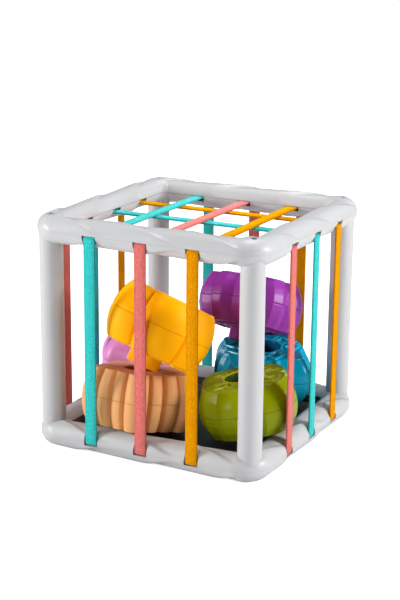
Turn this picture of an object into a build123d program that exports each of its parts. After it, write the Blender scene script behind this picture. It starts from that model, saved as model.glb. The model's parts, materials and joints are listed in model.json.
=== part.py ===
from build123d import *
from math import cos, radians, sin
import os

# An activity cube for a small child. A pale plastic cage (two hollow-looking rings held apart by four
# posts) is laced with flat elastic straps on every side but the floor, and six chunky patterned blocks
# are pushed in and pulled out between the straps. Origin: middle of the footprint, on the table.
# +X is the cube's right, +Y its back, +Z up. Millimetres.

# ------------------------------------------------------------------ driving dimensions
CAGE_SIDE = 140.0  # outside of the rings, both ways
CAGE_HEIGHT = 130.0
RING_WIDTH = 16.0  # one bar of a ring, inside to outside
RING_HEIGHT = 15.0
RING_EDGE_FLAT = 0.5  # upright strip beside the seam; the rest of a bar's section is round
CORNER_RADIUS = 17.0
INNER_CORNER_RADIUS = 4.0
FLOOR_TOP = 5.6  # the floor the blocks stand on
FLOOR_THICKNESS = 2.5

POST_RADIUS = 6.5
POST_INSET = 10.0  # axis of a post to the outside of the rings
POST_SEAT = 6.0  # how far a post is sunk into each ring
POST_FIT = 0.1

SCREW_RADIUS = 1.5
SCREW_HEAD_RADIUS = 2.1
SCREW_HEAD_HEIGHT = 1.8
SCREW_HEAD_SINK = 2.4  # head below the ring's surface
SCREW_GRIP = 12.0  # shank inside the post
SCREW_FIT = 0.1

STRAP_WIDTH = 7.0
STRAP_THICKNESS = 1.2
STRAP_COUNT = 3
STRAP_MARGIN = 23.5  # middle of an outer strap to the inside of the rings
STRAP_INSET = 0.2  # outer face of an upright strap, inside the ring's widest line
STRAP_LAYER_GAP = 0.2  # between the two crossing layers of the lid, and over them
SLOT_CLEARANCE = 0.6
SLOT_NOTCH_HEIGHT = 5.0  # mouth of a slot in the outside of a ring
TAIL_LENGTH = 5.0  # strap end beyond the slot, inside the base ring

BLOCK_RIM_CHAMFER = 0.4
BLOCK_GROOVE = 0.3  # gap at the parting line between the two halves of a block
BLOCK_GROOVE_DEPTH = 1.0
BLOCK_BELLY = 0.22  # share of the rim's draw-in that is reached half way up
RELIEF_HEIGHT = 1.2
SEAM_DEPTH = 0.8  # sunk line between two petals of the star
COLLAR_WIDTH = 1.6
HUB_RADIUS = 10.2  # the cup in the middle of a block
HUB_WALL = 0.8
HUB_DEPTH = 9.0
HUB_SINK = 0.4  # hub below the face round it
HUB_FIT = 0.1
PEG_LENGTH = 8.0  # peg under a block, which plugs into another block's cup
PEG_PLAY = 0.2
PEG_CHAMFER = 0.4

# ------------------------------------------------------------------ places that follow from them
HALF_SIDE = CAGE_SIDE / 2
INNER_SIDE = CAGE_SIDE - 2 * RING_WIDTH
RING_ROUNDING = RING_HEIGHT / 2 - RING_EDGE_FLAT
POST_PITCH = CAGE_SIDE - 2 * POST_INSET
STRAP_PITCH = (INNER_SIDE - 2 * STRAP_MARGIN) / (STRAP_COUNT - 1)
BASE_SEAM = RING_HEIGHT / 2
TOP_SEAM = CAGE_HEIGHT - RING_HEIGHT / 2
POST_BOTTOM = RING_HEIGHT - POST_SEAT
POST_TOP = CAGE_HEIGHT - RING_HEIGHT + POST_SEAT
STRAP_OUTER = HALF_SIDE - STRAP_INSET
STRAP_INNER = STRAP_OUTER - STRAP_THICKNESS
UPPER_LAYER = TOP_SEAM - STRAP_LAYER_GAP - STRAP_THICKNESS
LOWER_LAYER = UPPER_LAYER - STRAP_LAYER_GAP - STRAP_THICKNESS
SLOT_WIDTH = STRAP_WIDTH + 2 * SLOT_CLEARANCE
SLOT_DEPTH = STRAP_THICKNESS + SLOT_CLEARANCE
LID_SLOT_DEPTH = TOP_SEAM - LOWER_LAYER + SLOT_CLEARANCE / 2
PEG_RADIUS = HUB_RADIUS - HUB_WALL - PEG_PLAY
BLOCK_CELL = STRAP_INNER / 2  # half of one block's share of the floor, four to a layer
TAIL_END = STRAP_INNER - TAIL_LENGTH

os.makedirs("parts", exist_ok=True)


def save(piece, name):
    piece.label = name
    export_step(piece, f"parts/{name}.step")


# ------------------------------------------------------------------ rings
def ring_outline():
    """Rounded square with a rounded square window, drawn on the current sketch."""
    RectangleRounded(CAGE_SIDE, CAGE_SIDE, CORNER_RADIUS)
    RectangleRounded(INNER_SIDE, INNER_SIDE, INNER_CORNER_RADIUS, mode=Mode.SUBTRACT)


def half_ring(seam, up):
    """One moulded half of a ring, with its round edge away from the seam."""
    height = RING_HEIGHT / 2
    with BuildPart() as half:
        with BuildSketch(Plane.XY.offset(seam)):
            ring_outline()
        extrude(amount=height * up)
        far_face = half.faces().sort_by(Axis.Z)[-1 if up > 0 else 0]
        fillet(far_face.edges(), radius=RING_ROUNDING)
    return half.part


def post_places():
    return GridLocations(POST_PITCH, POST_PITCH, 2, 2)


def cut_across_bars(level, height, inner, outer):
    """A passage at each of the twelve strap places, from inner to outer distance, on the open part."""
    with BuildSketch(Plane.XY.offset(level)) as passages:
        for turn in range(4):
            with PolarLocations((inner + outer) / 2, 1, start_angle=90 * turn):
                with GridLocations(1, STRAP_PITCH, 1, STRAP_COUNT):
                    Rectangle(outer - inner, SLOT_WIDTH)
    extrude(passages.sketch, amount=height, mode=Mode.SUBTRACT)


def cut_round(level, height, radius):
    """A round hole at each of the four post places, on the open part."""
    with BuildSketch(Plane.XY.offset(level)) as holes:
        with post_places():
            Circle(radius)
    extrude(holes.sketch, amount=height, mode=Mode.SUBTRACT)


OUTSIDE = HALF_SIDE + 1.0  # cuts run this far, past the rings
INSIDE = HALF_SIDE - RING_WIDTH - 1.0
NOTCH_INNER = STRAP_INNER - SLOT_CLEARANCE / 2
HEAD_HOLE = SCREW_HEAD_RADIUS + SCREW_FIT
SHANK_HOLE = SCREW_RADIUS + SCREW_FIT
HEAD_DEPTH = SCREW_HEAD_HEIGHT + SCREW_HEAD_SINK
FLOOR_SIDE = INNER_SIDE + RING_WIDTH  # to the middle of the bars

with BuildPart() as top_ring_upper:
    add(half_ring(TOP_SEAM, 1))
    cut_round(TOP_SEAM, RING_HEIGHT, SHANK_HOLE)
    cut_round(CAGE_HEIGHT - HEAD_DEPTH, RING_HEIGHT, HEAD_HOLE)
save(top_ring_upper.part, "top_ring_upper")

with BuildPart() as top_ring_lower:
    add(half_ring(TOP_SEAM, -1))
    cut_across_bars(TOP_SEAM, -LID_SLOT_DEPTH, INSIDE, OUTSIDE)
    cut_across_bars(TOP_SEAM, -SLOT_NOTCH_HEIGHT, NOTCH_INNER, OUTSIDE)
    cut_round(TOP_SEAM, -RING_HEIGHT, SHANK_HOLE)
    cut_round(POST_TOP, -RING_HEIGHT, POST_RADIUS + POST_FIT)
save(top_ring_lower.part, "top_ring_lower")

with BuildPart() as base_ring_upper:
    add(half_ring(BASE_SEAM, 1))
    cut_across_bars(BASE_SEAM, SLOT_DEPTH, TAIL_END - SLOT_CLEARANCE, OUTSIDE)
    cut_across_bars(BASE_SEAM, SLOT_NOTCH_HEIGHT, NOTCH_INNER, OUTSIDE)
    cut_round(BASE_SEAM, RING_HEIGHT, SHANK_HOLE)
    cut_round(POST_BOTTOM, RING_HEIGHT, POST_RADIUS + POST_FIT)
save(base_ring_upper.part, "base_ring_upper")

with BuildPart() as base_tray:
    add(half_ring(BASE_SEAM, -1))
    with BuildSketch(Plane.XY.offset(FLOOR_TOP)):
        RectangleRounded(FLOOR_SIDE, FLOOR_SIDE, CORNER_RADIUS - RING_WIDTH / 2)
    extrude(amount=-FLOOR_THICKNESS)
    cut_across_bars(BASE_SEAM, -SLOT_DEPTH, TAIL_END - SLOT_CLEARANCE, OUTSIDE)
    cut_round(BASE_SEAM, -RING_HEIGHT, SHANK_HOLE)
    cut_round(HEAD_DEPTH, -RING_HEIGHT, HEAD_HOLE)
save(base_tray.part, "base_tray")

# ------------------------------------------------------------------ posts and screws
for across, along in ((-1, -1), (1, -1), (-1, 1), (1, 1)):
    corner = Plane((across * POST_PITCH / 2, along * POST_PITCH / 2, POST_BOTTOM))
    length = POST_TOP - POST_BOTTOM
    with BuildPart() as post:
        with BuildSketch(corner):
            Circle(POST_RADIUS)
        extrude(amount=length)
        for end, way in ((0, 1), (length, -1)):
            with BuildSketch(corner.offset(end)):
                Circle(SHANK_HOLE)
            extrude(amount=way * (SCREW_GRIP + SLOT_CLEARANCE), mode=Mode.SUBTRACT)
    name = ("front" if along < 0 else "back") + ("_left" if across < 0 else "_right")
    save(post.part, f"post_{name}")


def screws(head_face, way, tip):
    """Four screws whose heads start at head_face and whose shanks end at tip."""
    with BuildPart() as group:
        with BuildSketch(Plane.XY.offset(head_face)):
            with post_places():
                Circle(SCREW_HEAD_RADIUS)
        extrude(amount=way * SCREW_HEAD_HEIGHT)
        with BuildSketch(Plane.XY.offset(head_face)):
            with post_places():
                Circle(SCREW_RADIUS)
        extrude(amount=tip - head_face)
    return group.part


save(screws(CAGE_HEIGHT - SCREW_HEAD_SINK, -1, POST_TOP - SCREW_GRIP), "top_screws")
save(screws(SCREW_HEAD_SINK, 1, POST_BOTTOM + SCREW_GRIP), "base_screws")

# ------------------------------------------------------------------ elastic straps
SIDES = {"right": 0, "back": 90, "left": 180, "front": 270}
PLACES = ("left", "middle", "right")
STRAP_BOTTOM = BASE_SEAM - STRAP_THICKNESS / 2


def strap_offset(index):
    return (index - (STRAP_COUNT - 1) / 2) * STRAP_PITCH


def lid_level(side):
    """Underside of a strap where it runs through the top ring: front-to-back ones lie over the others."""
    return UPPER_LAYER if side in ("front", "back") else LOWER_LAYER


def place_name(side, index):
    """Straps are called by the ordinary directions of the cube, seen from its front."""
    if side in ("front", "back"):
        return PLACES[index]
    return ("front", "middle", "back")[index]


for side in SIDES:
    for index in range(STRAP_COUNT):
        sign = -1 if side in ("left", "front") else 1
        lies_along_x = side in ("front", "back")
        middle = sign * (STRAP_OUTER + STRAP_INNER) / 2
        spot = strap_offset(index)
        centre = (spot, middle) if lies_along_x else (middle, spot)
        size = (STRAP_WIDTH, STRAP_THICKNESS) if lies_along_x else (STRAP_THICKNESS, STRAP_WIDTH)
        with BuildPart() as strap:
            with BuildSketch(Plane((*centre, STRAP_BOTTOM))):
                Rectangle(*size)
            extrude(amount=lid_level(side) + STRAP_THICKNESS - STRAP_BOTTOM)
        save(strap.part, f"{side}_strap_{place_name(side, index)}")

for index in range(STRAP_COUNT):
    spot = strap_offset(index)
    with BuildPart() as strap:
        with BuildSketch(Plane((spot, 0, UPPER_LAYER))):
            Rectangle(STRAP_WIDTH, INNER_SIDE)
        extrude(amount=STRAP_THICKNESS)
    save(strap.part, f"lid_strap_{PLACES[index]}")
    with BuildPart() as strap:
        with BuildSketch(Plane((0, spot, LOWER_LAYER))):
            Rectangle(INNER_SIDE, STRAP_WIDTH)
        extrude(amount=STRAP_THICKNESS)
    save(strap.part, f"lid_cross_strap_{('front', 'middle', 'back')[index]}")

# The stretch of each strap that is out of sight: through the top ring, and its tail in the base ring.
with BuildPart() as strap_returns:
    for side, turn in SIDES.items():
        for level, inner in ((lid_level(side), HALF_SIDE - RING_WIDTH), (STRAP_BOTTOM, TAIL_END)):
            with BuildSketch(Plane.XY.offset(level)):
                with PolarLocations((inner + STRAP_INNER) / 2, 1, start_angle=turn):
                    with GridLocations(1, STRAP_PITCH, 1, STRAP_COUNT):
                        Rectangle(STRAP_INNER - inner, STRAP_WIDTH)
            extrude(amount=STRAP_THICKNESS)
save(strap_returns.part, "strap_returns")

# ------------------------------------------------------------------ blocks
# Every block is two moulded halves that meet at a thin groove, a belly that draws in toward both ends,
# a low relief on each end and a dark hub through the middle. All outlines are symmetric about local x.


def petals(radius, share, count, first):
    """Overlapping discs that reach out to radius, evenly round the centre."""
    with PolarLocations(radius * (1 - share), count, start_angle=first):
        Circle(radius * share)


def clover(radius):
    petals(radius, 0.7, 4, 45)
    with PolarLocations(radius * 0.88, 4):
        RegularPolygon(radius * 0.11, 3, rotation=180, mode=Mode.SUBTRACT)


def scalloped_star(radius):
    Circle(radius * 0.7)
    petals(radius, 0.2, 5, 0)
    for side in (-1, 1):
        petals(radius * 0.84, 0.226, 5, 21.5 * side)


def lattice_square(half_side):
    RectangleRounded(2 * half_side, 2 * half_side, half_side * 0.2)
    with PolarLocations(half_side, 4):
        with GridLocations(1, half_side * 0.44, 1, 2):
            RegularPolygon(half_side * 0.11, 4, rotation=0)


def ten_lobes(radius):
    petals(radius, 0.305, 10, 0)
    Circle(radius * 0.8)


def six_petals(radius):
    petals(radius, 0.53, 6, 30)


def spear_square(radius):
    RectangleRounded(radius * 1.58, radius * 1.58, radius * 0.3)
    with PolarLocations(0, 4):
        Polygon(
            (radius * 0.6, -radius * 0.1),
            (radius * 0.82, -radius * 0.14),
            (radius, 0),
            (radius * 0.82, radius * 0.14),
            (radius * 0.6, radius * 0.1),
            align=None,
        )


def clover_relief(radius):
    petals(radius * 0.82, 0.55, 4, 45)


def star_seams(radius):
    with PolarLocations(radius * 0.5, 5, start_angle=36):
        Rectangle(radius * 0.46, radius * 0.03)


def lattice_relief(half_side):
    """Square frames that stand on a corner, two crossing at each side."""
    frame = RegularPolygon(half_side * 0.4, 4, mode=Mode.PRIVATE)
    frame -= RegularPolygon(half_side * 0.27, 4, mode=Mode.PRIVATE)
    with PolarLocations(half_side * 0.64, 4):
        with GridLocations(1, half_side * 0.44, 1, 2):
            add(frame)


def lobes_relief(radius):
    Circle(radius * 0.68)
    Circle(radius * 0.6, mode=Mode.SUBTRACT)
    Circle(radius * 0.54)


def petals_relief(radius):
    RegularPolygon(radius * 0.82, 6, rotation=30)
    RegularPolygon(radius * 0.72, 6, rotation=30, mode=Mode.SUBTRACT)
    Circle(radius * 0.52)


def spear_relief(radius):
    Circle(radius * 0.66)
    Circle(radius * 0.58, mode=Mode.SUBTRACT)
    Circle(radius * 0.5)


def seat_plane(centre, toward, lean, turn):
    """Middle plane of a block: turned about its own axis, then leaned over toward a compass angle."""
    hinge = Axis((0, 0, 0), (-sin(radians(toward)), cos(radians(toward)), 0))
    ahead = Vector(1, 0, 0).rotate(Axis.Z, turn).rotate(hinge, lean)
    return Plane(centre, x_dir=ahead, z_dir=Vector(0, 0, 1).rotate(hinge, lean))


def moulded_half(middle, outline, relief, radius, face, draw_in):
    """Half a block, standing on its middle plane. The star's relief is sunk, all others stand proud."""
    profile = (
        (BLOCK_GROOVE / 2, 0),
        (face / 2, draw_in * BLOCK_BELLY),
        (face - BLOCK_RIM_CHAMFER, draw_in),
        (face, draw_in + BLOCK_RIM_CHAMFER),
    )
    with BuildPart() as half:
        with BuildSketch(middle):
            outline(radius - BLOCK_GROOVE_DEPTH)
        extrude(amount=BLOCK_GROOVE / 2)
        for level, inset in profile:
            with BuildSketch(middle.offset(level)):
                outline(radius - inset)
        loft(ruled=True)
        if relief is star_seams:
            with BuildSketch(middle.offset(face)):
                relief(radius - draw_in)
            extrude(amount=-SEAM_DEPTH, mode=Mode.SUBTRACT)
        else:
            with BuildSketch(middle.offset(face)):
                relief(radius - draw_in)
                Circle(HUB_RADIUS + HUB_FIT + COLLAR_WIDTH)
            extrude(amount=RELIEF_HEIGHT)
        with BuildSketch(middle):
            Circle(HUB_RADIUS + HUB_FIT)
        extrude(amount=face + RELIEF_HEIGHT, mode=Mode.SUBTRACT)
    return half.part


def hub(middle, end, peg_end):
    """Cupped core of a block. Where peg_end is given, its lower end is closed and runs out as a peg."""
    with BuildPart() as core:
        with BuildSketch(middle):
            Circle(HUB_RADIUS)
        extrude(amount=end, both=True)
        for way in (1,) if peg_end else (1, -1):
            with BuildSketch(middle.offset(way * end)):
                Circle(HUB_RADIUS - HUB_WALL)
            extrude(amount=-way * HUB_DEPTH, mode=Mode.SUBTRACT)
        if peg_end:
            with BuildSketch(middle.offset(-end)):
                Circle(PEG_RADIUS)
            extrude(amount=end - peg_end)
            tip = core.faces().sort_by(Axis(middle.origin, middle.z_dir))[0]
            chamfer(tip.edges(), length=PEG_CHAMFER)
    return core.part


BLOCKS = {
    # name: outline, relief, peg, (slack in its cell, height, draw-in), stands on,
    # quarter of the floor, (shift from the middle of its cell), rest, (leans toward, lean, turn)
    # A block on the floor stands on its lower rim, a pegged one on its peg, over the block named.
    "green": (
        clover, clover_relief, False, (4.7, 27.8, 4.5), None,
        (1, -1), (5.5, 14.1), 16.854, (-164.6, 10.8, 27.0),
    ),
    "peach": (
        scalloped_star, star_seams, False, (1.8, 31.4, 4.0), None,
        (-1, -1), (16.9, -4.5), 14.798, (91.2, 11.9, 78.4),
    ),
    "blue": (
        lattice_square, lattice_relief, False, (9.4, 27.8, 4.5), None,
        (1, 1), (-10.7, -0.7), 20.873, (-77.1, 4.9, 33.6),
    ),
    "purple": (
        ten_lobes, lobes_relief, True, (4.1, 27.8, 4.0), "blue",
        (1, 1), (-14.9, -9.2), 41.2, (91.1, 23.4, 0.0),
    ),
    "yellow": (
        six_petals, petals_relief, True, (3.7, 31.3, 4.3), "peach",
        (-1, -1), (29.8, -4.7), 42.6, (59.0, 29.7, 28.8),
    ),
    "pink": (
        spear_square, spear_relief, False, (6.7, 26.8, 5.0), None,
        (-1, 1), (-7.8, -22.4), 19.203, (30.2, 11.7, 10.0),
    ),
}
levels = {None: FLOOR_TOP}  # middle of each block, and the floor

for colour, (outline, relief, pegged, size, below, quarter, shift, rest, pose) in BLOCKS.items():
    slack, height, draw_in = size
    toward, lean, turn = pose
    radius = BLOCK_CELL - slack
    across, along = (side * BLOCK_CELL + away for side, away in zip(quarter, shift))
    rim_rise = 0 if pegged else radius * sin(radians(lean))
    levels[colour] = levels[below] + rest + rim_rise
    upward = seat_plane((across, along, levels[colour]), toward, lean, turn)
    downward = Plane(upward.origin, x_dir=upward.x_dir, z_dir=-upward.z_dir)
    face = height / 2
    rise = 0 if relief is star_seams else RELIEF_HEIGHT
    for half, middle in (("upper", upward), ("lower", downward)):
        shell = moulded_half(middle, outline, relief, radius, face, draw_in)
        save(shell, f"{colour}_block_{half}")
    peg_end = face + PEG_LENGTH if pegged else 0
    save(hub(upward, face + rise - HUB_SINK, peg_end), f"{colour}_block_hub")
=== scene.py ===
import json
from math import atan2, cos, pi, radians, sin
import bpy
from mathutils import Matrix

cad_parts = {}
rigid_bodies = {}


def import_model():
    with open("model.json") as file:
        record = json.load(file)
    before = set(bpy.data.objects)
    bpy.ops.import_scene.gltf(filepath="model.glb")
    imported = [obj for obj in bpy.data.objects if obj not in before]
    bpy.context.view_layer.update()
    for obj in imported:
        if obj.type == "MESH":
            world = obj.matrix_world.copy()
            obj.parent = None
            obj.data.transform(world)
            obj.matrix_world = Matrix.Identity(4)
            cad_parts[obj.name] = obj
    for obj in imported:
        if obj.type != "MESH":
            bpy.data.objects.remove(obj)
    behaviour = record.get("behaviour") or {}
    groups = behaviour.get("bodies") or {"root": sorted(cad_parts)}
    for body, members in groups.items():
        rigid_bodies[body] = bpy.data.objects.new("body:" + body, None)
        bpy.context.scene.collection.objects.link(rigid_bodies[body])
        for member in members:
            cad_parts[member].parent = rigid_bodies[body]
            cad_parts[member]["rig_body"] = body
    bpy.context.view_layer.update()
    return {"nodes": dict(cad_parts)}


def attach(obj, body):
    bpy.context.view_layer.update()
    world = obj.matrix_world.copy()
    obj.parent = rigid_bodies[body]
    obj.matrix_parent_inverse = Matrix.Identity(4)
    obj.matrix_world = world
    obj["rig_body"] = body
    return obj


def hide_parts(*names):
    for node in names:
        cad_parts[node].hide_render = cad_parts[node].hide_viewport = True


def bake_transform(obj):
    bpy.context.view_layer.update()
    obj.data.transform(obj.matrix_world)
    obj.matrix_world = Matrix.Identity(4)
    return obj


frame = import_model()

from types import SimpleNamespace

import bmesh
import bpy
import numpy as np
from mathutils import Matrix, Vector

MM = 0.001

# ---------------------------------------------------------------- camera and light
# A 35 mm portrait frame from the front right, a little above the lid. Soft boxes stand to the right and
# the front left, with weaker ones above and in front; the inside of the cube stays in shade.
CAMERA_PLACE = (0.35997, -0.70413, 0.29307)
CAMERA_YAW, CAMERA_PITCH, CAMERA_ROLL = 0.473125, 0.268491, 0.00910348
CUBE_MIDDLE = (0, 0, 0.065)

camera = bpy.data.objects.new("camera", bpy.data.cameras.new("camera"))
camera.data.lens = 87.62
camera.data.sensor_width = 36
camera.matrix_world = (
    Matrix.Translation(CAMERA_PLACE)
    @ Matrix.Rotation(CAMERA_YAW, 4, "Z")
    @ Matrix.Rotation(pi / 2 - CAMERA_PITCH, 4, "X")
    @ Matrix.Rotation(CAMERA_ROLL, 4, "Z")
)
bpy.context.scene.collection.objects.link(camera)
bpy.context.scene.camera = camera
bpy.context.scene.view_settings.view_transform = "Standard"


def soft_light(name, place, size, power):
    """An area light aimed at the middle of the cube."""
    light = bpy.data.objects.new(name, bpy.data.lights.new(name, "AREA"))
    light.data.shape = "DISK"
    light.data.size = size
    light.data.energy = power
    light.location = place
    aim = Vector(CUBE_MIDDLE) - Vector(place)
    light.rotation_euler = aim.to_track_quat("-Z", "Y").to_euler()
    bpy.context.scene.collection.objects.link(light)


soft_light("right", (0.93, 0.12, 0.38), 0.35, 9.5)
soft_light("left", (-0.85, -0.6, 0.3), 0.4, 9.0)
soft_light("top", (0.0, 0.15, 0.95), 0.45, 6.2)
soft_light("front", (-0.15, -1.05, 0.35), 0.3, 2.8)

# White backdrop for the camera. All else gets faint light from it, and reflections still less.
AROUND, AROUND_IN_REFLECTIONS = 0.1, 0.03
world = bpy.data.worlds.new("white studio")
bpy.context.scene.world = world
world.use_nodes = True
sky = world.node_tree
sky.nodes.clear()
path = sky.nodes.new("ShaderNodeLightPath")
seen = sky.nodes.new("ShaderNodeBackground")
seen.inputs["Color"].default_value = (1, 1, 1, 1)
seen.inputs["Strength"].default_value = 1.0
around = sky.nodes.new("ShaderNodeBackground")
around.inputs["Color"].default_value = (0.92, 0.95, 1, 1)
faint = sky.nodes.new("ShaderNodeMath")
faint.operation = "MULTIPLY_ADD"
faint.inputs[1].default_value = AROUND_IN_REFLECTIONS - AROUND
faint.inputs[2].default_value = AROUND
sky.links.new(path.outputs["Is Glossy Ray"], faint.inputs[0])
sky.links.new(faint.outputs[0], around.inputs["Strength"])
choose = sky.nodes.new("ShaderNodeMixShader")
sky.links.new(path.outputs["Is Camera Ray"], choose.inputs["Fac"])
sky.links.new(around.outputs[0], choose.inputs[1])
sky.links.new(seen.outputs[0], choose.inputs[2])
out = sky.nodes.new("ShaderNodeOutputWorld")
sky.links.new(choose.outputs[0], out.inputs["Surface"])

# ---------------------------------------------------------------- cage: rings and posts
# Pale grey moulded plastic with a soft gloss. Each ring is two halves that meet at a fine seam, and its
# bars are carved with slanting scales that overlap along them; the posts are plain. The floor has painted
# shade.


class Nodes:
    """Short calls for adding and joining the nodes of one tree."""

    def __init__(self, tree):
        self.tree = tree

    def node(self, kind, **settings):
        made = self.tree.nodes.new("ShaderNode" + kind)
        for key, value in settings.items():
            setattr(made, key, value)
        return made

    def join(self, source, target):
        self.tree.links.new(source, target)

    def fill(self, socket, value):
        """Sets a socket to a constant or joins another socket to it."""
        if isinstance(value, (int, float, tuple)):
            socket.default_value = value
        else:
            self.join(value, socket)

    def math(self, operation, first, second=None, clamp=False):
        made = self.node("Math", operation=operation, use_clamp=clamp)
        self.fill(made.inputs[0], first)
        if second is not None:
            self.fill(made.inputs[1], second)
        return made.outputs[0]

    def mix(self, factor, first, second):
        made = self.node("Mix", data_type="RGBA")
        for socket, value in zip((made.inputs[0], made.inputs[6], made.inputs[7]), (factor, first, second)):
            self.fill(socket, value)
        return made.outputs[2]

    def noise(self, place, scale, detail=3.0, roughness=0.5):
        made = self.node("TexNoise")
        self.fill(made.inputs["Scale"], scale)
        made.inputs["Detail"].default_value = detail
        made.inputs["Roughness"].default_value = roughness
        self.join(place, made.inputs["Vector"])
        return made.outputs[0]


class Shader(Nodes):
    """A new material with a Principled surface."""

    def __init__(self, name):
        self.material = bpy.data.materials.new(name)
        self.material.use_nodes = True
        super().__init__(self.material.node_tree)
        self.surface = self.tree.nodes["Principled BSDF"]
        self.place = self.node("TexCoord").outputs["Object"]

    def set(self, **values):
        """Fills sockets of the surface, named with underscores for spaces."""
        for label, value in values.items():
            self.fill(self.surface.inputs[label.replace("_", " ")], value)

    def bump(self, height, strength, distance):
        made = self.node("Bump")
        made.inputs["Strength"].default_value = strength
        made.inputs["Distance"].default_value = distance
        self.join(height, made.inputs["Height"])
        self.join(made.outputs[0], self.surface.inputs["Normal"])


def linear(hex_colour):
    """A colour written as in a paint chart, as the renderer needs it."""
    values = [int(hex_colour[i : i + 2], 16) / 255 for i in (0, 2, 4)]
    return tuple(v / 12.92 if v <= 0.04045 else ((v + 0.055) / 1.055) ** 2.4 for v in values) + (1.0,)


def new_piece(name, built, body=None, nodes=(), material=None, sharp=35):
    """Turns a bmesh into a shaded piece that stands for CAD nodes and moves with a body."""
    mesh = bpy.data.meshes.new(name)
    built.to_mesh(mesh)
    built.free()
    # Normals that come with a CAD mesh no longer fit a skin that was reshaped.
    if "custom_normal" in mesh.attributes:
        mesh.attributes.remove(mesh.attributes["custom_normal"])
    mesh.polygons.foreach_set("use_smooth", [True] * len(mesh.polygons))
    mesh.set_sharp_from_angle(angle=radians(sharp))
    piece = bpy.data.objects.new(name, mesh)
    bpy.context.scene.collection.objects.link(piece)
    if material:
        mesh.materials.append(material)
    if nodes:
        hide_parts(*nodes)
    if body:
        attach(piece, body)
    return piece


def merged_copy(node):
    """The CAD node's mesh with its loose triangles joined."""
    built = bmesh.new()
    built.from_mesh(frame["nodes"][node].data)
    bmesh.ops.remove_doubles(built, verts=built.verts, dist=1e-7)
    return built


# The middle of a ring's bar lies BAR_MIDDLE from the cube's axis, level with the seam of its ring. A scale
# rises over the first part of its pitch and falls off over the rest, along lines that lean round the bar.
# Depths are shares of SCALE_STEP, and the seam is plainest on the outside.
BAR_MIDDLE = 62 * MM
SEAM_BASE, SEAM_LID = 7.5 * MM, 122.5 * MM
RINGS_MIDDLE, RINGS_HALF_APART = (SEAM_BASE + SEAM_LID) / 2, (SEAM_LID - SEAM_BASE) / 2
SCALE_PITCH, SCALE_STEP, SCALE_LEAN, SCALE_TURN = 43 * MM, 1.1 * MM, 20 * MM, 1.1
SCALE_START, SCALE_RISE, SCALE_FALL = 2.92, 0.88, 0.12
PLAIN_BY_SEAM, FADE_BY_SEAM = 0.5 * MM, 3 * MM
CARVED_LENGTH, FADE_BY_CORNER = 59 * MM, 6 * MM
SKIN_NEAR, SKIN_FAR = 6.8 * MM, 8.35 * MM
SLICE, SLICES_EACH_WAY = 2.9 * MM, 20
SEAM_HALF, SEAM_FADES_OVER, SEAM_OUTSIDE, SEAM_DEPTH = 0.2 * MM, 2 * MM, 0.25, 0.1
CREASE_DEPTH, PEEL_DEPTH = 0.35, 0.02
# Reach and height of the floor that is painted dark as painted shade.
SHADED_FLOOR_HALF, SHADED_FLOOR_TOP = 55.5 * MM, 10 * MM


def scale_drop(along, upward, outward):
    """How far the skin of a bar lies below the crests of its scales."""
    lean = sin(atan2(upward, outward) - SCALE_TURN) * SCALE_LEAN
    share = ((along + lean) / SCALE_PITCH + SCALE_START) % 1
    ramp = min(share / SCALE_RISE, (1 - share) / SCALE_FALL)
    above = min(max((upward - PLAIN_BY_SEAM) / FADE_BY_SEAM, 0), 1)
    straight = min(max((CARVED_LENGTH - abs(along)) / FADE_BY_CORNER, 0), 1)
    return SCALE_STEP * (1 - ramp) * above * straight


def carve_scales(built):
    """Slices the bars of a ring crossways and draws their skin in between the crests of the scales."""
    for axis in (Vector((1, 0, 0)), Vector((0, 1, 0))):
        for k in range(-SLICES_EACH_WAY, SLICES_EACH_WAY + 1):
            parts = built.verts[:] + built.edges[:] + built.faces[:]
            bmesh.ops.bisect_plane(built, geom=parts, plane_co=axis * SLICE * k, plane_no=axis, dist=1e-7)
    for vertex in built.verts:
        side = 0 if abs(vertex.co.x) > abs(vertex.co.y) else 1
        outward = abs(vertex.co[side]) - BAR_MIDDLE
        seam_level = SEAM_BASE if vertex.co.z < RINGS_MIDDLE else SEAM_LID
        upward = vertex.co.z - seam_level
        reach = Vector((outward, upward)).length
        if SKIN_NEAR < reach < SKIN_FAR:
            kept = 1 - scale_drop(vertex.co[1 - side], abs(upward), outward) / reach
            vertex.co[side] += outward * (kept - 1) * (1 if vertex.co[side] > 0 else -1)
            vertex.co.z = seam_level + upward * kept


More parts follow.
